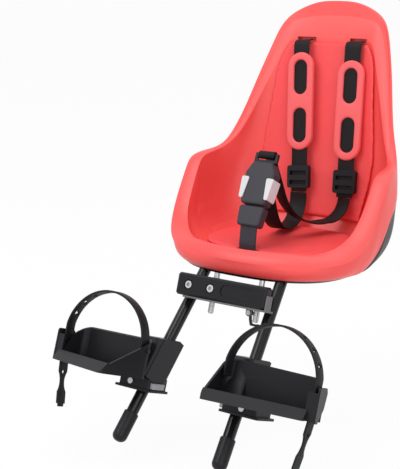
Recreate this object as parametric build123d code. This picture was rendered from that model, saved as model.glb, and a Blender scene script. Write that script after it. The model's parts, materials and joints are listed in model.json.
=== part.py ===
from build123d import *
import math
import os

# Front-mounted child bike seat. Millimetres, +Z up, the child faces -Y.
# The origin is the middle of the stem clamp, on the axis of the steering stem.

# stem clamp
STEM_TILT = 18.0
STEM_R = 11.1
BLOCK_HALF_W = 70.0
BLOCK_H = 30.0
JAW_FRONT = 15.5
JAW_GAP = 0.6
REAR_HALF_W = 47.0
REAR_DEPTH = 38.0
EAR_DEPTH = 8.0
BOLT_X = (-50.4, -15.5)
BOLT_R = 3.0
HEAD_R = 5.0
HEAD_H = 6.0
NUT_FLATS = 10.0
NUT_H = 5.0
HINGE_X = BLOCK_HALF_W - 13.0
HINGE_PIN_R = 3.0
KNUCKLE_R = 6.0
LOCK_PLATE_T = 2.5

# docking pins and their latch
PIN_X = 36.0
PIN_DEPTH = 28.6
PIN_R = 4.0
PIN_TOP = 31.0
PIN_TIP = -34.0
LATCH_X = 26.5
LATCH_Z = -22.5
LATCH_T = 3.0
RIVET_R = 2.0

# seat set off from the stem clamp
SEAT_BACK = 9.16
SEAT_UP = -2.01

# bucket
WALL = 3.2
CENTRE_Y = 115.0
FLOOR_Z = 44.0
PAD_TOP = 317.5
PARTING_Z = 19.0
PARTING_GAP = 0.4
PARTING_TURN_Y = 112.0
PARTING_BEND = 10.0
BASE_Z = 15.6
BASE_T = 2.0
BELT_X = 42.0
HOOK_Y = 270.6
BELT_W = 25.0
BELT_T = 1.6
PAD_T = 5.5
PAD_GAP = 1.2

# legs and footrests
TUBE_R = 8.0
TUBE_BORE_R = 6.6
LEG_AT_ZERO = (62.0, 19.0, 0.0)
LEG_DOWN = (0.0698, -0.664, -0.744)
LEG_TOP_Z = 34.0
LEG_END_Z = -172.0
CAP_R = 10.0
CAP_LEN = 42.0
SLIDE_FIT = 0.08
FOOT_Z = -100.0
FOOT_PITCH = 20.0
TRAY_WALL = 3.0
TRAY_BOTTOM = -16.5
LIP_Z = -3.0
LIP_LEAN = 40.0
STRAP_W = 16.0
STRAP_T = 2.5
STRAP_Y = -42.0
STRAP_X = -5.2
ARCH_R = 64.66
STRAP_HOLES = (-8, 12, 30, 48, 66)
WAIST = 7.0
PEG_R = 2.8
BUTTON_TRAVEL = 3.0

# buckle
BUCKLE_AT = (0.0, 69.0, 124.0)
BUCKLE_LEAN = 27.0
BUCKLE_W = 46.0
BUCKLE_T = 17.0
SIDE_TRAVEL = 3.5
FIT = 0.3

os.makedirs("parts", exist_ok=True)

TILT = math.radians(STEM_TILT)
BLOCK = Plane(origin=(0, 0, 0), x_dir=(1, 0, 0), z_dir=(0, math.sin(TILT), math.cos(TILT)))
SEAT = Pos(0, SEAT_BACK, SEAT_UP)


def box(x0, x1, y0, y1, z0, z1):
    return Pos((x0 + x1) / 2, (y0 + y1) / 2, (z0 + z1) / 2) * Box(x1 - x0, y1 - y0, z1 - z0)


def rod(start, end, r):
    way = Vector(*end) - Vector(*start)
    return Plane(origin=start, z_dir=way) * Cylinder(r, way.length, align=(Align.CENTER, Align.CENTER, Align.MIN))


def rounded(shape, axis, r):
    return fillet(shape.edges().filter_by(axis), r)


def flip(shape):
    return mirror(shape, about=Plane.YZ)


def save(name, shape, place=None):
    placed = shape if place is None else place * shape
    export_step(placed, "parts/" + name + ".step")


# Bucket: upright sections turned about a vertical line, lofted round the rim
# Rim edge from the front centre to the top centre, child's left half
RIM_LINE = [
    (0, 14, 38), (16, 14.4, 38), (45, 17.5, 38), (68, 22.6, 38.3), (90, 29.5, 39),
    (109, 38, 40.2), (125, 48, 42), (146, 68, 50), (156, 84, 66), (160, 103, 96),
    (161, 120, 123), (161, 134, 143), (160, 146, 150), (155, 168, 153), (146, 188, 158), (139, 201, 169),
    (129, 213, 192), (108, 243, 267), (97, 257.5, 305), (88, 267, 331), (75, 275, 349), (55, 280, 361),
    (30, 282.4, 369), (11, 283, 370.8), (0, 283, 371),
]
# Plan outlines by height: z, half width, front y, widest y, back y
OUTER = [
    (16, 122, 18, 108, 192), (24, 140, 14.5, 110, 216), (45, 153, 14, 112, 238), (80, 161, 14, 114, 250),
    (120, 162, 20, 116, 256), (158, 157, 20, 122, 262), (192, 145, 20, 140, 266), (267, 128, 20, 180, 276),
    (331, 116, 20, 210, 285), (371, 106, 20, 220, 290),
]
INNER = [
    (44, 104, 34, 112, 216), (52, 120, 27, 114, 222), (70, 133, 22, 115, 227), (110, 139, 22, 117, 233.5),
    (158, 140, 22, 120, 241.5), (192, 124, 22, 140, 247), (267, 103, 22, 180, 259.5), (317, 92, 22, 205, 268),
    (371, 80, 22, 215, 277),
]
# Inner rim edge seen from the side: y, z
INNER_RIM = [
    (0, 52), (50, 53), (70, 58), (88, 76), (105, 100), (122, 127), (134, 146), (146, 152), (170, 155),
    (188, 160), (201, 172), (213, 194), (283, 374),
]


def between(table, t):
    if t <= table[0][0]:
        return table[0][1:]
    for a, b in zip(table, table[1:]):
        if t <= b[0]:
            s = (t - a[0]) / (b[0] - a[0])
            return tuple(u + (v - u) * s for u, v in zip(a[1:], b[1:]))
    return table[-1][1:]


def radius(table, power, phi, z):
    half, front, widest, back = between(table, z)
    low, high = 0.0, 400.0
    for _ in range(40):
        r = (low + high) / 2
        x = abs(r * math.cos(phi))
        y = CENTRE_Y + r * math.sin(phi) - widest
        depth, p = (back - widest, power) if y > 0 else (widest - front, 2.5)
        if (x / half) ** p + (abs(y) / depth) ** p < 1:
            low = r
        else:
            high = r
    return low


def r_in(phi, z):
    return radius(INNER, 3.2, phi, z)


def r_out(phi, z):
    return radius(OUTER, 2.5, phi, z)


def parting(y):
    past = y - PARTING_TURN_Y
    side = PARTING_Z + past + math.hypot(past, PARTING_BEND)
    rear = 89.0 + max(0.0, y - 140.0) * 0.45
    return min(side, rear)


def settle(step, z):
    for _ in range(60):
        z = 0.5 * z + 0.5 * step(z)
    return z


def parting_z(phi, z_rim):
    return settle(lambda z: min(parting(CENTRE_Y + r_out(phi, z) * math.sin(phi)), z_rim - 8), 30.0)


def shell_section(x, y, z):
    phi = math.atan2(y - CENTRE_Y, x)
    ro = math.hypot(x, y - CENTRE_Y)
    ze = settle(lambda t: min(between(INNER_RIM, CENTRE_Y + r_in(phi, t) * math.sin(phi))[0], PAD_TOP), z)
    re = r_in(phi, ze)
    zp = parting_z(phi, z)
    floor = r_in(phi, FLOOR_Z)
    inner = [(floor - 6, FLOOR_Z)]
    for s in (0.1, 0.34, 0.68, 1.0):
        zz = FLOOR_Z + 1 + (ze - FLOOR_Z - 1) * s
        inner.append((r_in(phi, zz), zz))
    crown = [(re, ze), ((re + ro) / 2, (ze + z) / 2 + 3.0), (ro, z)]
    outer = [(ro, z)]
    for s in (0.35, 0.7, 1.0):
        zz = z + (zp - z) * s
        outer.append((r_out(phi, zz), zz))
    hidden = [
        outer[-1],
        (outer[-1][0] - WALL, zp),
        (r_out(phi, (z + zp) / 2) - WALL, (z + zp) / 2),
        (ro - WALL - 0.6, z - 1.5),
        (re + WALL, ze - WALL + 1.2),
        (r_in(phi, (ze + FLOOR_Z) / 2) + WALL, (ze + FLOOR_Z) / 2),
        (inner[1][0] + WALL * 0.8, inner[1][1] - WALL * 0.6),
        (floor - 6, FLOOR_Z - WALL),
        (floor - 14, FLOOR_Z - WALL),
        (floor - 14, FLOOR_Z),
    ]
    return phi, [[(floor - 14, FLOOR_Z), (floor - 6, FLOOR_Z)], inner, crown, outer, hidden]


def base_section(x, y, z):
    phi = math.atan2(y - CENTRE_Y, x)
    zp = parting_z(phi, z) - PARTING_GAP
    low = BASE_Z + 0.8
    outer = []
    for s in (0.0, 0.35, 0.7, 1.0):
        zz = zp + (low - zp) * s
        outer.append((r_out(phi, zz), zz))
    end = r_out(phi, BASE_Z)
    mid = BASE_Z + BASE_T + 0.4 * (zp - BASE_Z - BASE_T)
    hidden = [
        outer[-1],
        (end - 1.5, BASE_Z),
        (end - 20, BASE_Z),
        (end - 20, BASE_Z + BASE_T),
        (r_out(phi, BASE_Z + BASE_T) - 4, BASE_Z + BASE_T),
        (r_out(phi, mid) - WALL, mid),
        (r_out(phi, zp) - WALL, zp),
        outer[0],
    ]
    return phi, [outer, hidden]


def spacing(curves):
    sums = [0.0] * len(curves[0])
    for pts in curves:
        run = [0.0]
        for a, b in zip(pts, pts[1:]):
            run.append(run[-1] + math.dist(a, b))
        sums = [s + v / run[-1] for s, v in zip(sums, run)]
    return [s / len(curves) for s in sums]


def turned_loft(make_section, kinds, rim):
    sections = [make_section(*p) for p in rim]
    steps = [spacing([s[1][k] for s in sections]) for k in range(len(kinds))]
    wires = []
    for phi, runs in sections:
        edges = []
        for kind, run, step in zip(kinds, runs, steps):
            pts = [Vector(r * math.cos(phi), CENTRE_Y + r * math.sin(phi), z) for r, z in run]
            if kind == "spline":
                edges.append(Edge.make_spline(pts, parameters=step))
            elif kind == "arc":
                edges.append(Edge.make_three_point_arc(*pts))
            else:
                edges += [Edge.make_line(a, b) for a, b in zip(pts, pts[1:])]
        wires.append(Wire(edges))
    half = Solid.make_loft(wires, False)
    skin = [f for f in half.faces() if f.bounding_box().max.X > 1]
    return Solid(Shell(skin + [f.mirror(Plane.YZ) for f in skin]))


def plan_loop(radius_at, z):
    turns = [math.radians(a) for a in range(0, 360, 15)]
    pts = [Vector(radius_at(t) * math.cos(t), CENTRE_Y + radius_at(t) * math.sin(t), z) for t in turns]
    return Wire([Edge.make_spline(pts, periodic=True, parameters=[i / len(pts) for i in range(len(pts) + 1)])])


def plan_plate(radius_at, z, thick):
    return extrude(make_face(plan_loop(radius_at, z).edges()), amount=thick, dir=(0, 0, 1))


def leg_axis(z):
    s = (z - LEG_AT_ZERO[2]) / LEG_DOWN[2]
    return tuple(p + s * d for p, d in zip(LEG_AT_ZERO, LEG_DOWN))


def leg_clearance(r):
    right = rod(leg_axis(LEG_TOP_Z + 6), leg_axis(-20), r)
    return right + flip(right)


def seat_shell():
    shell = turned_loft(shell_section, ("line", "spline", "arc", "spline", "line"), RIM_LINE)
    floor = plan_plate(lambda t: r_in(t, FLOOR_Z) - 10, FLOOR_Z - WALL - 0.5, WALL)
    shell = shell + floor
    slot = box(BELT_X - BELT_W / 2 - 2, BELT_X + BELT_W / 2 + 2, 250, HOOK_Y + 1.6, 313, 319)
    crotch = box(-15, 15, 40, 46, 38, 46)
    return shell - slot - flip(slot) - crotch - leg_clearance(TUBE_R + 0.6)


def base_cover():
    base = turned_loft(base_section, ("spline", "line"), RIM_LINE)
    base = base + plan_plate(lambda t: r_out(t, BASE_Z) - 14, BASE_Z - 0.4, BASE_T)
    pins = BLOCK * (Pos(PIN_X, PIN_DEPTH, 10) * Cylinder(PIN_R + 0.6, 60))
    pins = Pos(0, -SEAT_BACK, -SEAT_UP) * (pins + flip(pins))
    return base - leg_clearance(TUBE_R + 0.5) - pins


def seat_pad():
    rows = ((64, 78), (110, 86), (166, 90), (250, 81), (300, 70), (312, 60))
    wires = []
    for z, half in rows:
        curves = []
        for depth in (PAD_GAP, PAD_T):
            pts = []
            for s in (-1.0, -0.55, 0.0, 0.55, 1.0):
                a, front, widest, back = between(INNER, z)
                y = widest + (back - widest) * (1 - (half * abs(s) / a) ** 3.2) ** (1 / 3.2)
                pts.append(Vector(half * s, y - depth, z))
            curves.append(Edge.make_spline(pts, parameters=[0, 0.225, 0.5, 0.775, 1]))
        back_edge, front_edge = curves
        sides = [Edge.make_line(back_edge @ k, front_edge @ k) for k in (0, 1)]
        wires.append(Wire([back_edge, sides[0], front_edge, sides[1]]))
    back = Solid.make_loft(wires, False)
    floor = plan_plate(lambda t: r_in(t, FLOOR_Z) - 8.5, FLOOR_Z + 0.4, PAD_T - 0.4)
    slot = box(-16, 16, 24, 48, FLOOR_Z - 1, FLOOR_Z + 8)
    return back, floor - slot


# Frame under the seat
def cross_plate():
    outline = Polyline((-42, 23.5), (42, 23.5), (74, 38), (74, 80), (-74, 80), (-74, 38), close=True)
    plate = extrude(Pos(0, 0, BASE_Z + BASE_T) * make_face(outline), amount=3.5, dir=(0, 0, 1))
    pins = BLOCK * (Pos(PIN_X, PIN_DEPTH, 10) * Cylinder(PIN_R + 0.02, 80))
    pins = Pos(0, -SEAT_BACK, -SEAT_UP) * (pins + flip(pins))
    screws = [Pos(x, 66, 20) * Cylinder(2.7, 10) for x in (-30, 30)]
    return plate - leg_clearance(TUBE_R + 0.02) - pins - screws


def plate_screws():
    one = Pos(30, 66, BASE_Z + BASE_T + 3.5) * Cylinder(4.5, 2.5, align=(Align.CENTER, Align.CENTER, Align.MIN))
    one += Pos(30, 66, BASE_Z + BASE_T + 0.1) * Cylinder(2.5, 4, align=(Align.CENTER, Align.CENTER, Align.MIN))
    one -= Pos(30, 66, BASE_Z + BASE_T + 6.1) * extrude(RegularPolygon(2, 6), amount=-1.6)
    return one + flip(one)


def leg():
    tube = rod(leg_axis(LEG_TOP_Z), leg_axis(LEG_END_Z), TUBE_R)
    return tube - rod(leg_axis(LEG_TOP_Z + 5), leg_axis(LEG_END_Z - 5), TUBE_BORE_R)


def leg_cap():
    top = leg_axis(-151.0)
    at = Plane(origin=top, z_dir=LEG_DOWN)
    body = Cylinder(CAP_R, CAP_LEN, align=(Align.CENTER, Align.CENTER, Align.MIN))
    body = fillet(body.edges().group_by(Axis.Z)[-1], CAP_R - 1.5)
    body = chamfer(body.edges().group_by(Axis.Z)[0], 1.0)
    depth = (LEG_END_Z - 151.0 * -1) / LEG_DOWN[2]
    bore = Cylinder(TUBE_R + 0.05, depth + 0.1, align=(Align.CENTER, Align.CENTER, Align.MIN))
    return at * (body - bore)


def docking_pins():
    pin = Pos(PIN_X, PIN_DEPTH, PIN_TIP) * Cylinder(PIN_R, PIN_TOP - PIN_TIP, align=(Align.CENTER, Align.CENTER, Align.MIN))
    pin = chamfer(pin.edges().group_by(Axis.Z)[0], 1.5)
    return BLOCK * (pin + flip(pin))


# Stem clamp, drawn in the tilted frame of the stem
HALF_H = BLOCK_H / 2


def knuckle(r, z0, z1):
    return Pos(HINGE_X, 0, z0) * Cylinder(r, z1 - z0, align=(Align.CENTER, Align.CENTER, Align.MIN))


def across(x, y0, y1, r):
    return Pos(x, (y0 + y1) / 2, 0) * Rot(90, 0, 0) * Cylinder(r, y1 - y0)


def front_jaw():
    jaw = box(-BLOCK_HALF_W, BLOCK_HALF_W, -JAW_FRONT, -JAW_GAP, -HALF_H, HALF_H)
    jaw = fillet(jaw.edges().filter_by(Axis.Z).group_by(Axis.Y)[0], 5)
    jaw = chamfer(jaw.edges().filter_by(Axis.X).group_by(Axis.Y)[0], 2.5)
    jaw -= knuckle(KNUCKLE_R + 0.4, 5, HALF_H + 1)
    jaw -= knuckle(KNUCKLE_R + 0.4, -HALF_H - 1, -5)
    jaw += knuckle(KNUCKLE_R, -4.8, 4.8)
    jaw -= knuckle(HINGE_PIN_R + 0.05, -HALF_H, HALF_H)
    jaw -= Cylinder(STEM_R, BLOCK_H + 2)
    for x in BOLT_X:
        jaw -= across(x, -JAW_FRONT - 1, 1, BOLT_R + 0.2)
        jaw -= across(x, -JAW_FRONT - 1, -JAW_FRONT + HEAD_H + 0.5, HEAD_R + 1.5)
    recess = extrude(Plane.XZ * Pos(30, 0) * SlotOverall(58, 17), amount=1.2)
    return BLOCK * (jaw - Pos(0, -JAW_FRONT + 1.2, 0) * recess)


def rear_jaw():
    jaw = box(-REAR_HALF_W, REAR_HALF_W, JAW_GAP, REAR_DEPTH, -HALF_H, HALF_H)
    jaw = fillet(jaw.edges().filter_by(Axis.Z).group_by(Axis.Y)[-1], 8)
    jaw += box(-61, -REAR_HALF_W + 1, JAW_GAP, EAR_DEPTH, -9, 9)
    jaw += box(REAR_HALF_W - 1, HINGE_X, JAW_GAP, KNUCKLE_R, -HALF_H, HALF_H)
    jaw += knuckle(KNUCKLE_R, -HALF_H, HALF_H)
    jaw -= knuckle(KNUCKLE_R + 0.4, -5, 5)
    jaw -= knuckle(HINGE_PIN_R + 0.05, -HALF_H - 1, HALF_H + 1)
    jaw -= Cylinder(STEM_R, BLOCK_H + 2)
    for x in (-PIN_X, PIN_X):
        jaw -= Pos(x, PIN_DEPTH, 0) * Cylinder(PIN_R + FIT, BLOCK_H + 2)
    for x in BOLT_X:
        jaw -= across(x, -1, EAR_DEPTH + 9, BOLT_R + 0.2)
        jaw -= box(x - 5.9, x + 6.2, EAR_DEPTH, EAR_DEPTH + NUT_H + 0.2, -6, HALF_H + 1)
    jaw -= box(-18, 18, 19, REAR_DEPTH - 4, -HALF_H - 1, HALF_H - 4)
    return BLOCK * jaw


def jaw_bolts():
    bolts = []
    for x in BOLT_X:
        top = -JAW_FRONT + 0.4
        bolt = across(x, top, top + HEAD_H, HEAD_R) + across(x, top + HEAD_H, EAR_DEPTH + NUT_H + 3, BOLT_R)
        socket = Plane(origin=(x, top, 0), x_dir=(1, 0, 0), z_dir=(0, 1, 0)) * extrude(RegularPolygon(2.9, 6), amount=3.2)
        bolts.append(bolt - socket)
    return BLOCK * (bolts[0] + bolts[1])


def jaw_nuts():
    nuts = []
    for x in BOLT_X:
        at = Plane(origin=(x, EAR_DEPTH, 0), x_dir=(1, 0, 0), z_dir=(0, 1, 0))
        nuts.append(at * extrude(RegularPolygon(NUT_FLATS / 2, 6, major_radius=False), amount=NUT_H))
    bores = [across(x, 0, 30, BOLT_R) for x in BOLT_X]
    return BLOCK * ((nuts[0] - bores[0]) + (nuts[1] - bores[1]))


def hinge_pin():
    return BLOCK * knuckle(HINGE_PIN_R, -HALF_H, HALF_H)


def lock_plate():
    z1 = -HALF_H
    z0 = z1 - LOCK_PLATE_T
    plate = box(-58, BLOCK_HALF_W + 2.6, -13, 6.5, z0, z1) + box(-44, 44, 0, REAR_DEPTH - 2, z0, z1)
    plate += box(BLOCK_HALF_W + 0.2, BLOCK_HALF_W + 2.6, -13, 0, z0, 4)
    plate -= Cylinder(STEM_R + 1, 60)
    for x in (-PIN_X, PIN_X):
        plate -= Pos(x, PIN_DEPTH, z0) * Cylinder(PIN_R + FIT, 10)
    lug = box(LATCH_X - 5, LATCH_X + 5, PIN_DEPTH - 5.2, PIN_DEPTH - 2.2, LATCH_Z, z1)
    lug += Pos(LATCH_X, PIN_DEPTH - 3.7, LATCH_Z) * Rot(90, 0, 0) * Cylinder(5, 3)
    lug -= Pos(LATCH_X, PIN_DEPTH - 3.7, LATCH_Z) * Rot(90, 0, 0) * Cylinder(RIVET_R + 0.02, 8)
    return BLOCK * (plate + lug)


def latch_rivet():
    mid = Pos(LATCH_X, 0, LATCH_Z) * Rot(-90, 0, 0)
    y0 = PIN_DEPTH - 5.2
    span = 3.0 + 0.7 + LATCH_T + 0.4
    low = (Align.CENTER, Align.CENTER, Align.MIN)
    shank = Pos(0, 0, y0 - 0.01) * Cylinder(RIVET_R, span + 0.02, align=low)
    heads = Pos(0, 0, y0 - 1.6) * Cylinder(3.4, 1.6, align=low)
    heads += Pos(0, 0, y0 + span) * Cylinder(3.4, 1.6, align=low)
    return BLOCK * (mid * (shank + heads))


def safety_latch():
    path = Polyline((LATCH_X, LATCH_Z), (LATCH_X + 1.5, -31), (LATCH_X + 4, -37.5), (PIN_X + 3.5, -37.5))
    strip = make_face(offset(path, 1.6, kind=Kind.ARC, side=Side.BOTH).edges())
    flat = extrude(Plane.XZ * strip, amount=LATCH_T)
    flat += extrude(Plane.XZ * Pos(LATCH_X, LATCH_Z) * Circle(4.2), amount=LATCH_T)
    flat -= extrude(Plane.XZ * Pos(LATCH_X, LATCH_Z) * Circle(RIVET_R + 0.05), amount=LATCH_T)
    flat += extrude(Plane.XZ * Pos(PIN_X + 5, -38.3) * Circle(3.0), amount=LATCH_T)
    return BLOCK * (Pos(0, PIN_DEPTH - 1.5 + LATCH_T, 0) * flat)


# Harness
def back_y(z):
    return 219.0 + 0.167 * (z - 60.0)


def back_plane(x, z, off, turn):
    normal = Vector(0, -1, 0.167).normalized()
    across_dir = Vector(1, 0, 0).rotate(Axis((0, 0, 0), tuple(normal)), turn)
    at = Vector(x, back_y(z), z) + normal * off
    return Plane(origin=at, x_dir=across_dir, z_dir=normal)


PAD_OFF = 10.6
PAD_LEN = 142.0
PAD_W = 42.0
PAD_THICK = 8.0
LEFT_TURN = 2.9
RIGHT_TURN = 5.3


def shoulder_belt(x, z, turn):
    low, high = 96.0, 306.0
    length = (high - low) / math.cos(math.atan(0.167))
    strip = Pos(0, ((high + low) / 2 - z) * 1.014, 0) * Box(BELT_W, length, BELT_T)
    slab = back_plane(x, z, PAD_OFF, turn) * strip
    front = back_y(high - 3) - 1.014 * PAD_OFF
    path = Polyline((front, high - 3), (front + 1.4, high + 6), (front + 6, 315.8), (HOOK_Y, 315.8))
    hook = extrude(make_face(offset(path, BELT_T / 2, side=Side.BOTH).edges()), amount=BELT_W / 2, both=True)
    top = x + (312 - z) * math.tan(math.radians(-turn))
    return slab + Pos(top, 0, 0) * (Plane.YZ * hook)


def shoulder_pad(x, z, turn):
    slab = extrude(SlotOverall(PAD_LEN, PAD_W, 90), amount=PAD_THICK / 2, both=True)
    slab -= Box(BELT_W + 1.6, PAD_LEN + 2, BELT_T + 1.0)
    for y in (-35, 35):
        slab -= Pos(0, y, PAD_THICK / 2) * extrude(SlotOverall(50, 21.5, 90), amount=PAD_THICK / 2, both=True)
    return back_plane(x, z, PAD_OFF, turn) * slab


def adjuster(x, z, turn):
    frame = extrude(RectangleRounded(35, 33, 4), amount=4, both=True)
    frame -= Box(BELT_W + 1.6, 40, BELT_T + 1.0)
    for y in (-8.5, 5.5):
        frame -= Pos(0, y, 4) * Box(BELT_W + 1.6, 6, 8)
    return back_plane(x, z, PAD_OFF, turn) * frame


def lower_belt(start, end, run):
    way = Vector(end[0] - start[0], end[1] - start[1], 0)
    plane = Plane(origin=(start[0], start[1], 0), x_dir=way, z_dir=way.cross(Vector(0, 0, 1)))
    a, b, c, d, e, f = run
    path = Wire([ThreePointArc(a, b, c), ThreePointArc(c, d, e), Line(e, f)])
    strip = make_face(offset(path, BELT_T / 2, side=Side.BOTH).edges())
    return extrude(plane * strip, amount=BELT_W / 2, both=True)


LOW_LEFT = [(0, 97.4), (10, 75), (36, 67), (82, 78), (110, 112), (128.7, 167)]
LOW_RIGHT = [(0, 97.4), (10, 68), (40, 56), (88, 66), (111, 94), (128, 133)]


BUCKLE = Plane(
    origin=BUCKLE_AT,
    x_dir=(1, 0, 0),
    z_dir=(0, -math.cos(math.radians(BUCKLE_LEAN)), math.sin(math.radians(BUCKLE_LEAN))),
)


def slab_outline(points, thick, edge):
    body = extrude(make_face(Polyline(*points, close=True)), amount=thick / 2, both=True)
    body = fillet(body.edges().filter_by(Axis.Z), 4)
    return fillet(body.edges().group_by(Axis.Z)[-1], edge)


SIDE_X = BUCKLE_W / 2 - 7.0


def buckle_body():
    half = BUCKLE_W / 2
    body = slab_outline([(-half + 4, -20), (half - 4, -20), (half, 24), (half - 8, 40), (8 - half, 40), (-half, 24)], BUCKLE_T, 3)
    slot = box(SIDE_X - SIDE_TRAVEL - 1, half + 3, -13.4, 17.4, -5.4, 5.4)
    slot += box(SIDE_X, half + 3, -13.4, 17.4, -BUCKLE_T, BUCKLE_T)
    body -= slot + flip(slot)
    body -= box(-14.3, 14.3, 12, 45, -2.3, 2.3)
    body -= box(-13.3, 13.3, -22, -9.5, -1.6, 1.6)
    return BUCKLE * body


def buckle_tongue():
    plate = box(-14, 14, 12.6, 44, -2, 2) + box(-18, 18, 40.4, 54, -2, 2)
    plate -= box(-13.6, 13.6, 44.5, 50, -3, 3)
    return BUCKLE * plate


def buckle_button():
    half = BUCKLE_W / 2
    outline = Polyline((SIDE_X - 2.5, 17), (half + 2, 17), (half - 0.6, -13), (SIDE_X + 1, -13), close=True)
    grip = extrude(make_face(outline), amount=BUCKLE_T / 2 + 1.4, both=True)
    grip = fillet(grip.edges().filter_by(Axis.Z), 2.2)
    grip -= box(0, half - 1.6, -20, 20, -BUCKLE_T / 2 - 0.2, BUCKLE_T / 2 + 0.2)
    return BUCKLE * (grip + box(SIDE_X, half - 1, -12, 12, -5, 5))


def crotch_sleeve():
    sleeve = slab_outline([(-17, -50), (17, -50), (19.5, -22), (-19.5, -22)], 14, 2.5)
    return BUCKLE * (sleeve - box(-13.3, 13.3, -54, -20, -2.4, 2.4))


def crotch_strap():
    lean = math.radians(BUCKLE_LEAN)
    ends = [(BUCKLE_AT[1] + math.sin(lean) * a, BUCKLE_AT[2] + math.cos(lean) * a) for a in (-10.5, -50)]
    path = Polyline(ends[0], ends[1], (43, 56), (43, 41.5))
    strip = make_face(offset(path, 1.2, side=Side.BOTH).edges())
    return extrude(Plane.YZ * strip, amount=BELT_W / 2, both=True)


def crotch_anchor():
    return box(-17, 17, 38.6, 47.4, 36, 40.1)


# Footrests, drawn in the tilted frame of the child's left foot
PITCH = math.radians(FOOT_PITCH)
FOOT = Plane(origin=leg_axis(FOOT_Z), x_dir=(1, 0, 0), z_dir=(0, math.sin(PITCH), math.cos(PITCH)))
TUBE_UP = FOOT.to_local_coords(Vector(*leg_axis(FOOT_Z + 74.4))) - FOOT.to_local_coords(Vector(*leg_axis(FOOT_Z)))
TUBE_UP = TUBE_UP.normalized()
TRAY = [(5, -113), (123, -68), (113, -16), (-16.4, -30)]


def above_rim(limit):
    lip = box(-60, 160, -160, 40, LIP_Z, 80)
    return split(lip, bisect_by=limit, keep=Keep.TOP)


def toe_wedge(face):
    low = box(-60, 160, -160, 40, -40, LIP_Z)
    return split(low, bisect_by=face, keep=Keep.TOP)


def tray_walls():
    plan = make_face(Polyline(*TRAY, close=True))
    plan = fillet(plan.vertices().sort_by(Axis.Y)[2:], 13)
    plan = fillet(plan.vertices().sort_by(Axis.Y)[:2], 7)
    along = (Vector(*TRAY[1]) - Vector(*TRAY[0])).normalized()
    back = Vector(-along.Y, along.X, 0)
    lean = math.radians(LIP_LEAN)
    out = back * -math.cos(lean) + Vector(0, 0, math.sin(lean))
    toe = Vector(*TRAY[0], TRAY_BOTTOM)
    outer = extrude(Pos(0, 0, TRAY_BOTTOM) * plan, amount=56)
    outer -= toe_wedge(Plane(origin=toe, x_dir=along, z_dir=out))
    inner = extrude(Pos(0, 0, TRAY_BOTTOM + TRAY_WALL) * offset(plan, -TRAY_WALL), amount=56)
    inner -= toe_wedge(Plane(origin=toe - out * TRAY_WALL, x_dir=along, z_dir=out))
    steep = (Vector(0, 0, 1) - back * 1.4).normalized()
    lip = toe + back * 15 + Vector(0, 0, LIP_Z - TRAY_BOTTOM)
    tray = outer - inner
    tray -= above_rim(Plane(origin=lip, x_dir=along, z_dir=steep))
    tray -= above_rim(Plane(origin=(1.5, -98, LIP_Z), x_dir=along, z_dir=(0.682, -5.01, 9.05)))
    return split(tray, bisect_by=Plane.XY.offset(39), keep=Keep.BOTTOM)


def tower():
    up = Plane(origin=(0, 0, 0), x_dir=(1, 0, 0), z_dir=tuple(TUBE_UP))
    body = up * rounded(box(-16.4, 17, -34, 17, -24, 44), Axis.Z, 5)
    body = split(body, bisect_by=Plane.XY.offset(39), keep=Keep.BOTTOM)
    return split(body, bisect_by=Plane.XY.offset(-20), keep=Keep.TOP)


def guard():
    along = Vector(TRAY[2][0] - TRAY[1][0], TRAY[2][1] - TRAY[1][1], 0).normalized()
    shield = make_face(Polyline((-14, -18), (-4, -18), (13, 0), (17, 19), (12, 25), (-14, 25), close=True))
    plate = Pos(0, 12, 0) * extrude(Plane.XZ * fillet(shield.vertices(), 3.5), amount=3)
    for x in (-13.5, 12):
        plate += box(x, x + 2.5, -3, 10, TRAY_BOTTOM, 18)
    plate += Pos(0, 2.5, 8) * Rot(90, 0, 0) * Cylinder(PEG_R, 9)
    return Plane(origin=(118, -42, 0), x_dir=along, z_dir=(0, 0, 1)) * mirror(plate, about=Plane.XZ)


def footrest():
    body = tray_walls() + tower() + guard()
    body += rounded(box(-14.4, 36, -26, 16, -30, TRAY_BOTTOM + 2), Axis.Z, 4)
    body += Pos(-9, STRAP_Y, 20) * Rot(0, 90, 0) * Cylinder(PEG_R, 12)
    bore_end = TUBE_UP * 80
    body -= rod(tuple(bore_end * -1), tuple(bore_end), TUBE_R + SLIDE_FIT)
    body -= box(-16, -10, -23.2, 3.2, -28.8, -20.2)
    body -= Pos(16, -24, -23) * Rot(90, 0, 0) * Cylinder(2, 20)
    return FOOT * body


def foot_lock_plate():
    plate = rounded(box(-17.4, 41, -28, 18, -33, -30), Axis.Z, 4)
    bore_end = TUBE_UP * 80
    return FOOT * (plate - rod(tuple(bore_end * -1), tuple(bore_end), TUBE_R + 0.4))


def release_button():
    button = box(-19.6, -10 - BUTTON_TRAVEL - 0.3, -22.8, 2.8, -28.4, -20.6)
    return FOOT * fillet(button.edges().group_by(Axis.X)[0], 1.5)


def foot_screw():
    low = (Align.CENTER, Align.CENTER, Align.MIN)
    screw = Pos(16, -28, -23) * Rot(-90, 0, 0) * (Cylinder(4, 1.9, align=low) + Cylinder(1.9, 14, align=low))
    return FOOT * screw


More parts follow.
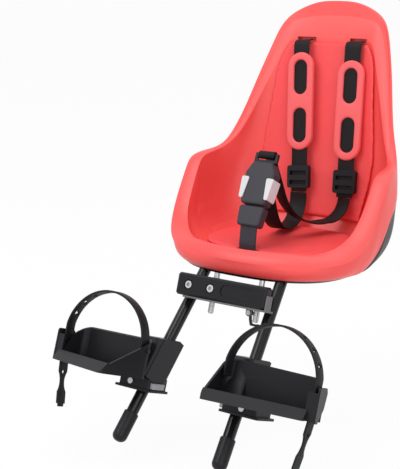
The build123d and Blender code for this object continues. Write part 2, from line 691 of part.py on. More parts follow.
def foot_strap():
    rise = Line((STRAP_X, 14), (STRAP_X, 34))
    arch = ThreePointArc((STRAP_X, 34), (58.4, 87), (122, 34))
    tail = Polyline((122, 34), (122, -10), (118, -44), (112, -78))
    path = Wire([rise, arch] + tail.edges())
    line = make_face(offset(path, STRAP_T / 2, side=Side.BOTH).edges())
    strap = extrude(Plane.XZ * line, amount=STRAP_W / 2, both=True)
    strap -= Pos(STRAP_X, 0, 20) * Rot(0, 90, 0) * Cylinder(PEG_R + 0.3, 12)
    strap -= Pos(122, 0, 8) * Rot(0, 90, 0) * Cylinder(PEG_R + 1.2, 12)
    for turn in STRAP_HOLES:
        hole = extrude(Rot(0, 0, 90) * RegularPolygon(5.0, 3), amount=12, both=True)
        strap -= Pos(58.4, 0, 87 - ARCH_R) * Rot(0, turn, 0) * Pos(0, 0, ARCH_R) * hole
    strap -= Pos(120, 0, -33) * Rot(0, 90, 0) * Cylinder(2.6, 14)
    for side in (-1, 1):
        strap -= Pos(117, side * (WAIST / 2 + 22), -46) * Rot(0, 90, 0) * Cylinder(22, 20)
        strap -= Pos(112, side * (STRAP_W / 2), -80) * Rot(0, 90, 0) * box(-5, 5, -3, 3, -10, 10)
    return FOOT * (Pos(0, STRAP_Y, 0) * strap)


save("seat_shell", seat_shell(), SEAT)
save("base_cover", base_cover(), SEAT)
pad_back, pad_floor = seat_pad()
save("pad_back", pad_back, SEAT)
save("pad_floor", pad_floor, SEAT)
save("cross_plate", cross_plate(), SEAT)
save("plate_screws", plate_screws(), SEAT)
save("leg_left", leg(), SEAT)
save("leg_right", flip(leg()), SEAT)
save("leg_cap_left", leg_cap(), SEAT)
save("leg_cap_right", flip(leg_cap()), SEAT)
save("docking_pins", docking_pins())
save("front_jaw", front_jaw())
save("rear_jaw", rear_jaw())
save("jaw_bolts", jaw_bolts())
save("jaw_nuts", jaw_nuts())
save("hinge_pin", hinge_pin())
save("lock_plate", lock_plate())
save("latch_rivet", latch_rivet())
save("safety_latch", safety_latch())
save("belt_right", shoulder_belt(-34, 226, RIGHT_TURN), SEAT)
save("belt_left", shoulder_belt(46.8, 218, LEFT_TURN), SEAT)
save("lower_belt_left", lower_belt((52.9, 214.5), (2, 96.3), LOW_LEFT), SEAT)
save("lower_belt_right", lower_belt((-22, 214.5), (-2, 84.6), LOW_RIGHT), SEAT)
save("shoulder_pad_right", shoulder_pad(-34, 226, RIGHT_TURN), SEAT)
save("shoulder_pad_left", shoulder_pad(46.8, 218, LEFT_TURN), SEAT)
save("adjuster_right", adjuster(-24, 118, RIGHT_TURN), SEAT)
save("adjuster_left", adjuster(51.8, 118, LEFT_TURN), SEAT)
save("buckle_body", buckle_body(), SEAT)
save("buckle_tongue", buckle_tongue(), SEAT)
save("buckle_button_left", buckle_button(), SEAT)
save("buckle_button_right", flip(buckle_button()), SEAT)
save("crotch_sleeve", crotch_sleeve(), SEAT)
save("crotch_strap", crotch_strap(), SEAT)
save("crotch_anchor", crotch_anchor(), SEAT)
save("footrest_left", footrest(), SEAT)
save("footrest_right", flip(footrest()), SEAT)
save("foot_lock_left", foot_lock_plate(), SEAT)
save("foot_lock_right", flip(foot_lock_plate()), SEAT)
save("release_button_left", release_button(), SEAT)
save("release_button_right", flip(release_button()), SEAT)
save("foot_screw_left", foot_screw(), SEAT)
save("foot_screw_right", flip(foot_screw()), SEAT)
save("foot_strap_left", foot_strap(), SEAT)
save("foot_strap_right", flip(foot_strap()), SEAT)
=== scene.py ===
import json
import math
import bpy
from mathutils import Matrix, Vector


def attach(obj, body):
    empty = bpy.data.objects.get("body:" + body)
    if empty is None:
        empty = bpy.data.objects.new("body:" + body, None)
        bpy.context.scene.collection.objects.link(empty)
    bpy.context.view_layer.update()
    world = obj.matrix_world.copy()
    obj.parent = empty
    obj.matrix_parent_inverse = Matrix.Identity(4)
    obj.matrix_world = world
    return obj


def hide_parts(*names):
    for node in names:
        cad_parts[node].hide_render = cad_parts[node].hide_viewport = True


bl_info = {
    "name": "Front child bike seat",
    "version": (1, 0, 0),
    "blender": (4, 5, 0),
    "location": "View3D > Sidebar > Child seat",
    "description": "Dresses the front-mounted child bike seat and sets its studio",
    "category": "Object",
}

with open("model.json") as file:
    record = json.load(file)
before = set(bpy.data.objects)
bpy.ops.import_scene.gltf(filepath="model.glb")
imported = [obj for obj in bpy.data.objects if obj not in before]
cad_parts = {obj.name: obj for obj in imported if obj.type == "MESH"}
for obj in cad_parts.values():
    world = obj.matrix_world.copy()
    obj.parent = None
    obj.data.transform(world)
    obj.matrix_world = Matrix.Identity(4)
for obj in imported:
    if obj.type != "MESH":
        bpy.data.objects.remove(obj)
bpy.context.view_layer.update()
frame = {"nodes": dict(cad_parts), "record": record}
NODES = frame["nodes"]

# camera of the photograph, in metres
CAMERA_AT = (0.83095, -1.24531, 0.42577)
CAMERA_WAY = (-0.559, 0.798, -0.227)
CAMERA_LENS = 90.27
FLOOR_Z = -0.215
PAPER_WHITE = 1.0

# reflection of the satin black plastics and webbing, less than a clear gloss
DARK_SHEEN = 0.2

# place of the seat above the stem clamp, and the sloping face of its back at a known height
SEAT_SHIFT = Vector((0.0, 0.00916, -0.00201))
BACK_SLOPE = 0.167
BACK_FOOT_Y = 0.219
BACK_FOOT_Z = 0.060
BACK_NORMAL = Vector((0, -1, BACK_SLOPE)).normalized()
BELT_OFF = 0.0106

# heights between which the shoulder belts run, along the slope, and the turn into their slots
BELT_LOW_Z = 0.096
BELT_HIGH_Z = 0.306
BELT_STRETCH = 1.014
BELT_STEPS = 30
SLOT_TURN = ((0.0062, -0.0028), (0.0088, -0.009))
SLOT_DEPTH = -0.0125

# each shoulder strap: side, place of its pad as x and height, turn on the back in degrees
STRAPS = (
    ("left", (0.0468, 0.218), 2.9),
    ("right", (-0.034, 0.226), 5.3),
)

# buckle: its middle and its lean in degrees
BUCKLE_AT = (0.0, 0.069, 0.124)
BUCKLE_LEAN = 27.0

# belt loop round the tongue's bar: its middle up the buckle, its half height and half depth
LOOP_MIDDLE = 0.0518
LOOP_HALF_HEIGHT = 0.0048
LOOP_HALF_DEPTH = 0.0042
LOOP_STEPS = 28

# loose runs of the lower belts: side, plan places of the two ends, and the points of the two arcs
# and the last straight in the upright plane through those ends, in millimetres
MILLIMETRE = 1000
LOWER_ARC_STEPS = 14
LOWER_RUNS = (
    (
        "left", (0.0529, 0.2145), (0.002, 0.0963),
        ((0, 97.4), (10, 75), (36, 67), (82, 78), (110, 112), (128.7, 167)),
    ),
    (
        "right", (-0.022, 0.2145), (-0.002, 0.0846),
        ((0, 97.4), (10, 68), (40, 56), (88, 66), (111, 94), (128, 133)),
    ),
)

# distances under which points count as one, and slack of a selection by place
SAME_POINT = 0.00001
PICK_SLACK = 0.0001

# floor of the studio, and the point that its lamps aim at
FLOOR_SIZE = 400.0
LAMP_AIM = Vector((0, 0.1, 0.08))


def colour(name, text, default):
    return bpy.props.FloatVectorProperty(
        name=name, description=text, default=default, subtype="COLOR", size=3, min=0.0, max=1.0
    )


def size(name, text, default):
    return bpy.props.FloatProperty(name=name, description=text, default=default, unit="LENGTH", min=0.0)


def level(name, text, default):
    return bpy.props.FloatProperty(name=name, description=text, default=default, min=0.0)


class SeatColours(bpy.types.PropertyGroup):
    """Colours of the plastics, pads, webbing and metal"""

    shell: colour("Bucket", "Coral of the moulded bucket", (0.84, 0.075, 0.071))
    cushion: colour("Cushions", "Coral of the soft seat and back cushions", (0.82, 0.066, 0.07))
    shoulder: colour("Shoulder pads", "Coral of the shoulder pads", (0.80, 0.108, 0.115))
    webbing: colour("Webbing", "Black of the woven belts", (0.012, 0.0078, 0.0095))
    buckle: colour("Buckle", "Dark grey of buckle and crotch strap", (0.036, 0.034, 0.043))
    press: colour("Buckle buttons", "Light grey of the buckle's side buttons", (0.56, 0.56, 0.58))
    release: colour("Release buttons", "Mid grey of the footrest buttons", (0.27, 0.27, 0.28))
    plastic: colour("Black plastic", "Black of the trays, jaws and base", (0.0105, 0.0098, 0.0125))
    rubber: colour("Strap rubber", "Black of the foot straps", (0.0095, 0.0095, 0.011))
    paint: colour("Tube paint", "Gloss black of the legs", (0.004, 0.004, 0.0045))
    steel: colour("Steel", "Bare steel of pins and bolts", (0.55, 0.55, 0.56))
    plate: colour("Lock plate", "Dull dark steel of the lock plate", (0.16, 0.155, 0.16))


class SeatSizes(bpy.types.PropertyGroup):
    """Sizes of the soft pieces"""

    belt_width: size("Webbing width", "Width of the woven belts", 0.025)
    belt_thick: size("Webbing thickness", "Thickness of the woven belts", 0.0016)
    pad_width: size("Shoulder pad width", "Width of a shoulder pad", 0.042)
    pad_length: size("Shoulder pad length", "Length of a shoulder pad", 0.142)
    pad_thick: size("Shoulder pad thickness", "Thickness of a shoulder pad", 0.008)
    window_width: size("Window width", "Width of each oval window in a shoulder pad", 0.0215)
    window_length: size("Window length", "Length of each oval window in a shoulder pad", 0.05)
    window_offset: size("Window offset", "Distance of each window from the pad's middle", 0.035)
    pad_round: size("Shoulder pad rounding", "Rounding of a shoulder pad's edges", 0.0028)
    cushion_voxel: size("Cushion grain", "Mesh size of the cushions", 0.0022)


class SeatStudio(bpy.types.PropertyGroup):
    """Light of the studio"""

    key: level("Key light", "Power of the lamp at the front left, in watts", 22.0)
    fill: level("Fill light", "Power of the lamp at the front right, in watts", 14.0)
    top: level("Top light", "Power of the lamp overhead, in watts", 14.0)
    sky: level("Sky", "Strength of the even light from all round", 0.68)
    paper_glow: level("Paper glow", "How far the floor shows as plain white paper", 0.92)


class Sock:
    """A shader socket that takes plain arithmetic."""

    def __init__(self, tree, out):
        self.tree = tree
        self.out = out

    def _math(self, kind, other, swap=False):
        node = self.tree.nodes.new("ShaderNodeMath")
        node.operation = kind
        pair = (other, self) if swap else (self, other)
        for put, value in zip(node.inputs, pair):
            if isinstance(value, Sock):
                self.tree.links.new(value.out, put)
            else:
                put.default_value = value
        return Sock(self.tree, node.outputs[0])

    def __add__(self, other):
        return self._math("ADD", other)

    def __radd__(self, other):
        return self._math("ADD", other, True)

    def __mul__(self, other):
        return self._math("MULTIPLY", other)

    def __rmul__(self, other):
        return self._math("MULTIPLY", other, True)

    def __or__(self, other):
        return self._math("MAXIMUM", other)


class Finish:
    """One material: a principled shader with its own nodes."""

    def __init__(self, name, base, roughness, metallic=0.0, coat=0.0, sheen=0.5, coords="Object"):
        self.mat = bpy.data.materials.new(name)
        self.mat.use_nodes = True
        self.tree = self.mat.node_tree
        self.base = tuple(base)
        self.shader = self.tree.nodes["Principled BSDF"]
        self.shader.inputs["Base Color"].default_value = (*self.base, 1.0)
        self.shader.inputs["Roughness"].default_value = roughness
        self.shader.inputs["Metallic"].default_value = metallic
        self.shader.inputs["Coat Weight"].default_value = coat
        self.shader.inputs["Specular IOR Level"].default_value = sheen
        self.coords = self.node("ShaderNodeTexCoord", out=coords)

    def node(self, kind, out=0, settings=(), **inputs):
        made = self.tree.nodes.new(kind)
        for key, value in dict(settings).items():
            setattr(made, key, value)
        for key, value in inputs.items():
            put = made.inputs[key.replace("_", " ")]
            if isinstance(value, Sock):
                self.tree.links.new(value.out, put)
            else:
                put.default_value = value
        return Sock(self.tree, made.outputs[out])

    def noise(self, scale, detail=3.0):
        return self.node("ShaderNodeTexNoise", "Fac", Vector=self.coords, Scale=scale, Detail=detail)

    def wave(self, axis, scale, bend=0.0):
        settings = {"bands_direction": axis}
        inputs = {"Vector": self.coords, "Scale": scale, "Distortion": bend}
        return self.node("ShaderNodeTexWave", "Fac", settings, **inputs)

    def drive(self, socket, value):
        self.tree.links.new(value.out, self.shader.inputs[socket])

    def bump(self, height, strength, distance):
        inputs = {"Height": height, "Strength": strength, "Distance": distance}
        self.drive("Normal", self.node("ShaderNodeBump", "Normal", **inputs))

    def tint(self, factor, dark, light):
        mix = self.tree.nodes.new("ShaderNodeMix")
        mix.data_type = "RGBA"
        self.tree.links.new(factor.out, mix.inputs[0])
        mix.inputs[6].default_value = (*[c * dark for c in self.base], 1.0)
        mix.inputs[7].default_value = (*[min(1.0, c * light) for c in self.base], 1.0)
        self.drive("Base Color", Sock(self.tree, mix.outputs[2]))


def moulded(name, base, roughness, grain=900.0, depth=0.00006, sheen=DARK_SHEEN):
    """Moulded plastic: fine spark-eroded grain and a slow drift of gloss and tone"""
    finish = Finish(name, base, roughness, sheen=sheen)
    broad = finish.noise(14.0, 2.0)
    finish.drive("Roughness", broad * 0.12 + (roughness - 0.06))
    finish.bump(finish.noise(grain, 2.0), 0.35, depth)
    finish.tint(broad, 0.95, 1.05)
    return finish.mat


def foam(name, base):
    """Soft skinned foam: pebbled skin, matt, with faint mottling"""
    finish = Finish(name, base, 0.62)
    pebble = finish.noise(700.0, 2.0)
    mottle = finish.noise(60.0, 3.0)
    finish.drive("Roughness", mottle * 0.16 + 0.54)
    finish.bump(pebble * 0.8 + mottle * 0.2, 0.45, 0.00018)
    finish.tint(mottle, 0.95, 1.06)
    return finish.mat


def woven(name, base):
    """Woven webbing: ribs across the belt and a fine crossing yarn"""
    finish = Finish(name, base, 0.7, sheen=DARK_SHEEN, coords="UV")
    ribs = finish.wave("Y", 330.0, 0.4)
    yarn = finish.wave("X", 260.0, 0.6)
    weave = ribs * 0.65 + yarn * 0.35
    finish.bump(weave, 0.7, 0.0003)
    finish.drive("Roughness", weave * 0.2 + 0.58)
    finish.tint(weave, 0.55, 1.7)
    return finish.mat


def metal(name, base, roughness):
    """Bare metal with short polishing streaks"""
    finish = Finish(name, base, roughness, metallic=1.0)
    streak = finish.noise(260.0, 4.0)
    finish.drive("Roughness", streak * 0.25 + (roughness - 0.1))
    finish.bump(streak, 0.15, 0.00005)
    finish.tint(streak, 0.85, 1.1)
    return finish.mat


def painted(name, base, roughness):
    """Gloss paint with a little orange peel"""
    finish = Finish(name, base, roughness, coat=0.2, sheen=DARK_SHEEN)
    peel = finish.noise(500.0, 2.0)
    finish.bump(peel, 0.2, 0.00005)
    finish.drive("Roughness", peel * 0.1 + (roughness - 0.05))
    finish.tint(finish.noise(30.0, 2.0), 0.9, 1.1)
    return finish.mat


FINISHES = {}


def finish_for(slot):
    """The finish of a material slot, made at its first use"""
    if slot in FINISHES:
        return FINISHES[slot]
    c = bpy.context.scene.seat_colours
    make = {
        "shell_coral": lambda: moulded(slot, c.shell, 0.4, sheen=0.5),
        "pad_coral": lambda: foam(slot, c.cushion),
        "shoulder_coral": lambda: foam(slot, c.shoulder),
        "webbing": lambda: woven(slot, c.webbing),
        "grey_strap": lambda: moulded(slot, c.buckle, 0.5, 700.0),
        "buckle_grey": lambda: moulded(slot, c.buckle, 0.42),
        "light_grey": lambda: moulded(slot, c.press, 0.4, sheen=0.5),
        "mid_grey": lambda: moulded(slot, c.release, 0.4, sheen=0.5),
        "strap_rubber": lambda: moulded(slot, c.rubber, 0.55, 500.0, 0.0001),
        "tube_black": lambda: painted(slot, c.paint, 0.22),
        "latch_black": lambda: painted(slot, [v * 2.2 for v in c.paint], 0.35),
        "steel": lambda: metal(slot, c.steel, 0.35),
        "black_plastic": lambda: moulded(slot, c.plastic, 0.4),
        "dull_steel": lambda: metal(slot, c.plate, 0.4),
    }
    FINISHES[slot] = make[slot]()
    return FINISHES[slot]


def slot_of(node):
    for row in frame["record"]["subparts"]:
        if row["node"] == node:
            return row["material_slot"]
    raise RuntimeError("no finish for " + node)


def fresh():
    """Object mode with nothing selected"""
    if bpy.context.mode != "OBJECT":
        bpy.ops.object.mode_set(mode="OBJECT")
    bpy.ops.object.select_all(action="DESELECT")


def take(obj):
    """Make one object the selected and active one"""
    fresh()
    obj.select_set(True)
    bpy.context.view_layer.objects.active = obj


def wear(obj, slot):
    obj.data.materials.clear()
    obj.data.materials.append(finish_for(slot))


def modifier(obj, kind, apply=True, **settings):
    take(obj)
    made = obj.modifiers.new(kind.lower(), kind)
    for key, value in settings.items():
        setattr(made, key, value)
    if apply:
        bpy.ops.object.modifier_apply(modifier=made.name)


def bevel(obj, width, segments, degrees, **settings):
    """Round the edges that are sharper than an angle"""
    modifier(obj, "BEVEL", width=width, segments=segments, limit_method="ANGLE",
             angle_limit=math.radians(degrees), **settings)


def smooth(obj, degrees):
    take(obj)
    bpy.ops.object.shade_smooth_by_angle(angle=math.radians(degrees))


def pick(obj, test):
    """Select, in edit mode, the vertices whose place passes the test"""
    bpy.ops.mesh.select_all(action="DESELECT")
    bpy.ops.object.mode_set(mode="OBJECT")
    for vertex in obj.data.vertices:
        vertex.select = test(vertex.co)
    bpy.ops.object.mode_set(mode="EDIT")


def settle(obj, body, slot, *nodes):
    """Give a finished piece its finish, its body and the solids that it stands for"""
    wear(obj, slot)
    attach(obj, body)
    if nodes:
        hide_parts(*nodes)


def place(obj, matrix):
    """Put a piece in its place and leave its object at the origin"""
    obj.matrix_world = matrix
    take(obj)
    bpy.ops.object.transform_apply(location=True, rotation=True, scale=True)


def dressed(node, edge=0.0, segments=2, angle=32, finish=""):
    """A solid that stays as it is, with its finish and a fine rounding of its edges"""
    obj = NODES[node]
    wear(obj, finish or slot_of(node))
    smooth(obj, angle)
    if edge:
        modifier(obj, "WELD", apply=False, merge_threshold=SAME_POINT)
        bevel(obj, edge, segments, 38, apply=False, use_clamp_overlap=True)
        modifier(obj, "WEIGHTED_NORMAL", apply=False, keep_sharp=True)


def copied(node, name):
    """A piece of its own that starts as a merged copy of a solid"""
    mesh = NODES[node].data.copy()
    obj = bpy.data.objects.new(name, mesh)
    bpy.context.scene.collection.objects.link(obj)
    take(obj)
    bpy.ops.object.mode_set(mode="EDIT")
    bpy.ops.mesh.select_all(action="SELECT")
    bpy.ops.mesh.remove_doubles(threshold=SAME_POINT)
    bpy.ops.object.mode_set(mode="OBJECT")
    return obj


def plane_matrix(origin, across, up, out):
    """A plane of the seat, from its middle and its three directions"""
    return Matrix.Translation(origin + SEAT_SHIFT) @ Matrix((across, up, out)).transposed().to_4x4()


def back_matrix(x, z, turn):
    """The plane of the belts on the seat's back, turned as the strap is"""
    face = Vector((x, BACK_FOOT_Y + BACK_SLOPE * (z - BACK_FOOT_Z), z))
    across = Matrix.Rotation(math.radians(turn), 3, BACK_NORMAL) @ Vector((1, 0, 0))
    return plane_matrix(face + BACK_NORMAL * BELT_OFF, across, BACK_NORMAL.cross(across), BACK_NORMAL)


def buckle_matrix():
    """The buckle's own plane: X across, Y up along it, Z out of its face"""
    rise, run = math.cos(math.radians(BUCKLE_LEAN)), math.sin(math.radians(BUCKLE_LEAN))
    return plane_matrix(Vector(BUCKLE_AT), Vector((1, 0, 0)), Vector((0, run, rise)), Vector((0, -rise, run)))


def arc(a, b, c, steps):
    """Points on the arc from a through b to c, without the first"""
    d = 2 * (a[0] * (b[1] - c[1]) + b[0] * (c[1] - a[1]) + c[0] * (a[1] - b[1]))
    squares = [p[0] ** 2 + p[1] ** 2 for p in (a, b, c)]
    x = (squares[0] * (b[1] - c[1]) + squares[1] * (c[1] - a[1]) + squares[2] * (a[1] - b[1])) / d
    y = (squares[0] * (c[0] - b[0]) + squares[1] * (a[0] - c[0]) + squares[2] * (b[0] - a[0])) / d
    r = math.hypot(a[0] - x, a[1] - y)
    turns = [math.atan2(p[1] - y, p[0] - x) for p in (a, b, c)]
    sweep = (turns[2] - turns[0]) % math.tau
    if (turns[1] - turns[0]) % math.tau > sweep:
        sweep -= math.tau
    return [(x + r * math.cos(turns[0] + sweep * k / steps), y + r * math.sin(turns[0] + sweep * k / steps))
            for k in range(1, steps + 1)]


def ribbon(name, route, width, thick, closed=False):
    """A flat belt drawn out along a route of (along, height) points, its width on X"""
    fresh()
    bpy.ops.mesh.primitive_plane_add(size=width)
    obj = bpy.context.active_object
    obj.name = name
    bpy.ops.object.mode_set(mode="EDIT")
    pick(obj, lambda co: co.y > 0)
    bpy.ops.mesh.delete(type="VERT")
    bpy.ops.mesh.select_all(action="SELECT")
    bpy.ops.transform.translate(value=(0, width / 2 + route[0][0], route[0][1]))
    for a, b in zip(route, route[1:]):
        bpy.ops.mesh.extrude_region_move(TRANSFORM_OT_translate={"value": (0, b[0] - a[0], b[1] - a[1])})
    if closed:
        bpy.ops.mesh.select_all(action="SELECT")
        bpy.ops.mesh.remove_doubles(threshold=SAME_POINT)
        bpy.ops.mesh.normals_make_consistent(inside=False)
    bpy.ops.object.mode_set(mode="OBJECT")
    lengths = [0.0]
    for a, b in zip(route, route[1:]):
        lengths.append(lengths[-1] + math.dist(a, b))
    weave = obj.data.uv_layers.new(name="weave")
    for loop in obj.data.loops:
        co = obj.data.vertices[loop.vertex_index].co
        near = min(range(len(route)), key=lambda k: math.dist(route[k], (co.y, co.z)))
        weave.data[loop.index].uv = (co.x, lengths[near])
    modifier(obj, "SOLIDIFY", thickness=thick, offset=0.0)
    bevel(obj, thick * 0.3, 2, 60)
    smooth(obj, 35)
    return obj


class SEAT_OT_bucket(bpy.types.Operator):
    """Finish the moulded bucket and its black base cover"""

    bl_idname = "seat.bucket"
    bl_label = "Bucket"

    def execute(self, context):
        dressed("seat_shell", angle=40)
        dressed("base_cover", angle=40)
        return {"FINISHED"}


class SEAT_OT_cushions(bpy.types.Operator):
    """Make the soft seat and back cushions"""

    bl_idname = "seat.cushions"
    bl_label = "Cushions"

    def execute(self, context):
        sizes = context.scene.seat_sizes
        for node, name in (("pad_back", "back_cushion"), ("pad_floor", "seat_cushion")):
            obj = copied(node, name)
            modifier(obj, "REMESH", mode="VOXEL", voxel_size=sizes.cushion_voxel, use_smooth_shade=True)
            modifier(obj, "SMOOTH", factor=0.5, iterations=4)
            if len(obj.data.polygons) < 1000:
                raise RuntimeError(name + " lost its mesh")
            smooth(obj, 60)
            settle(obj, "seat", "pad_coral", node)
        return {"FINISHED"}


class SEAT_OT_shoulder_pads(bpy.types.Operator):
    """Make the two shoulder pads with their oval windows"""

    bl_idname = "seat.shoulder_pads"
    bl_label = "Shoulder pads"

    def stretch(self, obj, width, length, middle):
        """Draw a circle out to a stadium by moving its two halves apart"""
        reach = width / 2 + PICK_SLACK
        for way in (-1, 1):
            pick(obj, lambda co: SAME_POINT < way * (co.y - middle) < reach and abs(co.x) < reach)
            bpy.ops.transform.translate(value=(0, way * (length - width) / 2, 0))

    def execute(self, context):
        sizes = context.scene.seat_sizes
        for side, (x, z), turn in STRAPS:
            fresh()
            bpy.ops.mesh.primitive_circle_add(vertices=64, radius=sizes.pad_width / 2)
            obj = context.active_object
            obj.name = "shoulder_pad_" + side + "_soft"
            bpy.ops.object.mode_set(mode="EDIT")
            self.stretch(obj, sizes.pad_width, sizes.pad_length, 0.0)
            for way in (-1, 1):
                middle = way * sizes.window_offset
                bpy.ops.mesh.select_all(action="DESELECT")
                bpy.ops.mesh.primitive_circle_add(
                    vertices=48, radius=sizes.window_width / 2, location=(0, middle, 0)
                )
                self.stretch(obj, sizes.window_width, sizes.window_length, middle)
            bpy.ops.mesh.select_all(action="SELECT")
            bpy.ops.mesh.fill(use_beauty=True)
            bpy.ops.object.mode_set(mode="OBJECT")
            modifier(obj, "SOLIDIFY", thickness=sizes.pad_thick, offset=0.0)
            bevel(obj, sizes.pad_round, 4, 50)
            take(obj)
            bpy.ops.object.mode_set(mode="EDIT")
            bpy.ops.mesh.select_all(action="SELECT")
            bpy.ops.mesh.normals_make_consistent(inside=False)
            bpy.ops.object.mode_set(mode="OBJECT")
            smooth(obj, 40)
            place(obj, back_matrix(x, z, turn))
            settle(obj, "seat", "shoulder_coral", "shoulder_pad_" + side)
        return {"FINISHED"}


class SEAT_OT_webbing(bpy.types.Operator):
    """Make the woven belts of the harness"""

    bl_idname = "seat.webbing"
    bl_label = "Webbing"

    def execute(self, context):
        sizes = context.scene.seat_sizes
        for side, (x, z), turn in STRAPS:
            low, high = [(end - z) * BELT_STRETCH for end in (BELT_LOW_Z, BELT_HIGH_Z)]
            straight = [(low + (high - low) * k / BELT_STEPS, 0.0) for k in range(BELT_STEPS + 1)]
            mid, last = [(high + along, depth) for along, depth in SLOT_TURN]
            route = straight + arc((high, 0.0), mid, last, 6) + [(last[0], SLOT_DEPTH)]
            obj = ribbon("belt_" + side + "_woven", route, sizes.belt_width, sizes.belt_thick)
            place(obj, back_matrix(x, z, turn))
            settle(obj, "seat", "webbing", "belt_" + side)
        for side, start, end, run in LOWER_RUNS:
            a, b, c, d, e, f = [(along / MILLIMETRE, height / MILLIMETRE) for along, height in run]
            route = [a] + arc(a, b, c, LOWER_ARC_STEPS) + arc(c, d, e, LOWER_ARC_STEPS) + [f]
            obj = ribbon("lower_belt_" + side + "_woven", route, sizes.belt_width, sizes.belt_thick)
            way = Vector((end[0] - start[0], end[1] - start[1], 0)).normalized()
            up = Vector((0, 0, 1))
            place(obj, plane_matrix(Vector((*start, 0)), way.cross(up), way, up))
            settle(obj, "seat", "webbing", "lower_belt_" + side)
        turns = [math.tau * k / LOOP_STEPS for k in range(LOOP_STEPS + 1)]
        heights = [LOOP_MIDDLE + LOOP_HALF_HEIGHT * math.cos(turn) for turn in turns]
        route = list(zip(heights, [LOOP_HALF_DEPTH * math.sin(turn) for turn in turns]))
        loop = ribbon("tongue_belt_loop", route, sizes.belt_width, sizes.belt_thick, closed=True)
        place(loop, buckle_matrix())
        settle(loop, "seat", "webbing")
        return {"FINISHED"}


class SEAT_OT_buckle(bpy.types.Operator):
    """Finish the buckle, its crotch strap and the belt adjusters"""

    bl_idname = "seat.buckle"
    bl_label = "Buckle"

    def execute(self, context):
        for node, edge in (
            ("buckle_body", 0.0012),
            ("buckle_tongue", 0.0006),
            ("buckle_button_left", 0.0008),
            ("buckle_button_right", 0.0008),
            ("crotch_sleeve", 0.0012),
            ("crotch_anchor", 0.0006),
            ("adjuster_left", 0.0008),
            ("adjuster_right", 0.0008),
        ):
            dressed(node, edge)
        strap = copied("crotch_strap", "crotch_strap_soft")
        bevel(strap, 0.0007, 2, 50)
        smooth(strap, 40)
        settle(strap, "seat", "grey_strap", "crotch_strap")
        return {"FINISHED"}


class SEAT_OT_clamp(bpy.types.Operator):
    """Finish the stem clamp, its bolts, pins and latch"""

    bl_idname = "seat.clamp"
    bl_label = "Stem clamp"

    def execute(self, context):
        for node, edge in (
            ("front_jaw", 0.0009),
            ("rear_jaw", 0.0009),
            ("jaw_bolts", 0.0004),
            ("jaw_nuts", 0.0003),
            ("hinge_pin", 0.0003),
            ("docking_pins", 0.0004),
            ("latch_rivet", 0.0003),
            ("safety_latch", 0.0004),
            ("cross_plate", 0.0005),
            ("plate_screws", 0.0003),
        ):
            dressed(node, edge)
        dressed("lock_plate", 0.0004, finish="dull_steel")
        return {"FINISHED"}


class SEAT_OT_legs(bpy.types.Operator):
    """Finish the two legs and their end caps"""

    bl_idname = "seat.legs"
    bl_label = "Legs"

    def execute(self, context):
        for side in ("left", "right"):
            dressed("leg_" + side, 0.0004)
            dressed("leg_cap_" + side, 0.0005)
        return {"FINISHED"}


class SEAT_OT_footrests(bpy.types.Operator):
    """Finish the trays, their locks, buttons and screws"""

    bl_idname = "seat.footrests"
    bl_label = "Footrests"

    def execute(self, context):
        for side in ("left", "right"):
            dressed("footrest_" + side, 0.0008)
            dressed("foot_lock_" + side, 0.0005)
            dressed("release_button_" + side, 0.0005)
            dressed("foot_screw_" + side, 0.0003)
        return {"FINISHED"}


class SEAT_OT_foot_straps(bpy.types.Operator):
    """Make the rubber foot straps"""

    bl_idname = "seat.foot_straps"
    bl_label = "Foot straps"

    def execute(self, context):
        for side in ("left", "right"):
            obj = copied("foot_strap_" + side, "foot_strap_" + side + "_rubber")
            bevel(obj, 0.0005, 2, 40)
            smooth(obj, 40)
            settle(obj, "foot_" + side, "strap_rubber", "foot_strap_" + side)
        return {"FINISHED"}


def seen(tree):
    """1 on rays that show the background: from the camera, or off and through the object"""
    path = tree.nodes.new("ShaderNodeLightPath")
    names = ("Is Camera Ray", "Is Glossy Ray", "Is Transmission Ray")
    camera, glossy, through = [Sock(tree, path.outputs[name]) for name in names]
    return camera | glossy | through


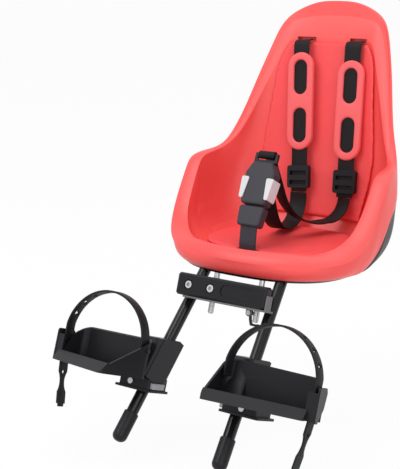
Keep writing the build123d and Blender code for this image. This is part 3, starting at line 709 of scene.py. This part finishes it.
class SEAT_OT_studio(bpy.types.Operator):
    """Set the floor, the lights and the camera"""

    bl_idname = "seat.studio"
    bl_label = "Studio"

    def floor(self, context, glow):
        fresh()
        bpy.ops.mesh.primitive_plane_add(size=FLOOR_SIZE, location=(0, 0, FLOOR_Z))
        obj = context.active_object
        obj.name = "studio_floor"
        paper = bpy.data.materials.new("studio_paper")
        paper.use_nodes = True
        tree = paper.node_tree
        shader = tree.nodes["Principled BSDF"]
        shader.inputs["Base Color"].default_value = (0.9, 0.9, 0.9, 1)
        shader.inputs["Roughness"].default_value = 0.9
        white = tree.nodes.new("ShaderNodeEmission")
        mix = tree.nodes.new("ShaderNodeMixShader")
        tree.links.new((seen(tree) * glow).out, mix.inputs[0])
        tree.links.new(shader.outputs[0], mix.inputs[1])
        tree.links.new(white.outputs[0], mix.inputs[2])
        tree.links.new(mix.outputs[0], tree.nodes["Material Output"].inputs["Surface"])
        obj.data.materials.append(paper)

    def lamps(self, context, studio):
        for name, at, wide, power in (
            ("key", (-0.9, -1.5, 1.9), 1.4, studio.key),
            ("fill", (1.7, -1.2, 0.9), 1.6, studio.fill),
            ("top", (0.1, 0.2, 2.2), 1.8, studio.top),
        ):
            bpy.ops.object.light_add(type="AREA", location=at)
            lamp = context.active_object
            lamp.name = "studio_" + name
            lamp.data.size = wide
            lamp.data.energy = power
            lamp.rotation_euler = (LAMP_AIM - Vector(at)).to_track_quat("-Z", "Y").to_euler()

    def world(self, context, sky):
        world = bpy.data.worlds.new("studio_world")
        world.use_nodes = True
        tree = world.node_tree
        back = tree.nodes["Background"]
        back.inputs["Color"].default_value = (1, 1, 1, 1)
        tree.links.new((seen(tree) * (PAPER_WHITE - sky) + sky).out, back.inputs["Strength"])
        context.scene.world = world

    def camera(self, context):
        bpy.ops.object.camera_add(location=CAMERA_AT)
        camera = context.active_object
        camera.rotation_euler = Vector(CAMERA_WAY).to_track_quat("-Z", "Y").to_euler()
        camera.data.lens = CAMERA_LENS
        camera.data.sensor_width = 36.0
        camera.data.clip_end = 500.0
        context.scene.camera = camera

    def execute(self, context):
        studio = context.scene.seat_studio
        self.floor(context, studio.paper_glow)
        self.lamps(context, studio)
        self.world(context, studio.sky)
        self.camera(context)
        context.scene.view_settings.view_transform = "Standard"
        return {"FINISHED"}


OPERATORS = (
    SEAT_OT_bucket,
    SEAT_OT_cushions,
    SEAT_OT_shoulder_pads,
    SEAT_OT_webbing,
    SEAT_OT_buckle,
    SEAT_OT_clamp,
    SEAT_OT_legs,
    SEAT_OT_footrests,
    SEAT_OT_foot_straps,
    SEAT_OT_studio,
)
GROUPS = (("seat_colours", SeatColours), ("seat_sizes", SeatSizes), ("seat_studio", SeatStudio))


class SEAT_PT_panel(bpy.types.Panel):
    """Sizes, colours and steps of the child seat"""

    bl_idname = "SEAT_PT_panel"
    bl_label = "Child seat"
    bl_space_type = "VIEW_3D"
    bl_region_type = "UI"
    bl_category = "Child seat"

    def draw(self, context):
        for operator in OPERATORS:
            self.layout.operator(operator.bl_idname)
        for name, group in GROUPS:
            column = self.layout.box().column()
            values = getattr(context.scene, name)
            for key in group.__annotations__:
                column.prop(values, key)


def register():
    for name, group in GROUPS:
        bpy.utils.register_class(group)
        setattr(bpy.types.Scene, name, bpy.props.PointerProperty(type=group))
    for cls in (*OPERATORS, SEAT_PT_panel):
        bpy.utils.register_class(cls)


def unregister():
    for cls in reversed((*OPERATORS, SEAT_PT_panel)):
        bpy.utils.unregister_class(cls)
    for name, group in reversed(GROUPS):
        delattr(bpy.types.Scene, name)
        bpy.utils.unregister_class(group)


def main():
    register()
    bpy.ops.seat.bucket()
    bpy.ops.seat.cushions()
    bpy.ops.seat.shoulder_pads()
    bpy.ops.seat.webbing()
    bpy.ops.seat.buckle()
    bpy.ops.seat.clamp()
    bpy.ops.seat.legs()
    bpy.ops.seat.footrests()
    bpy.ops.seat.foot_straps()
    bpy.ops.seat.studio()


if __name__ == "__main__":
    main()
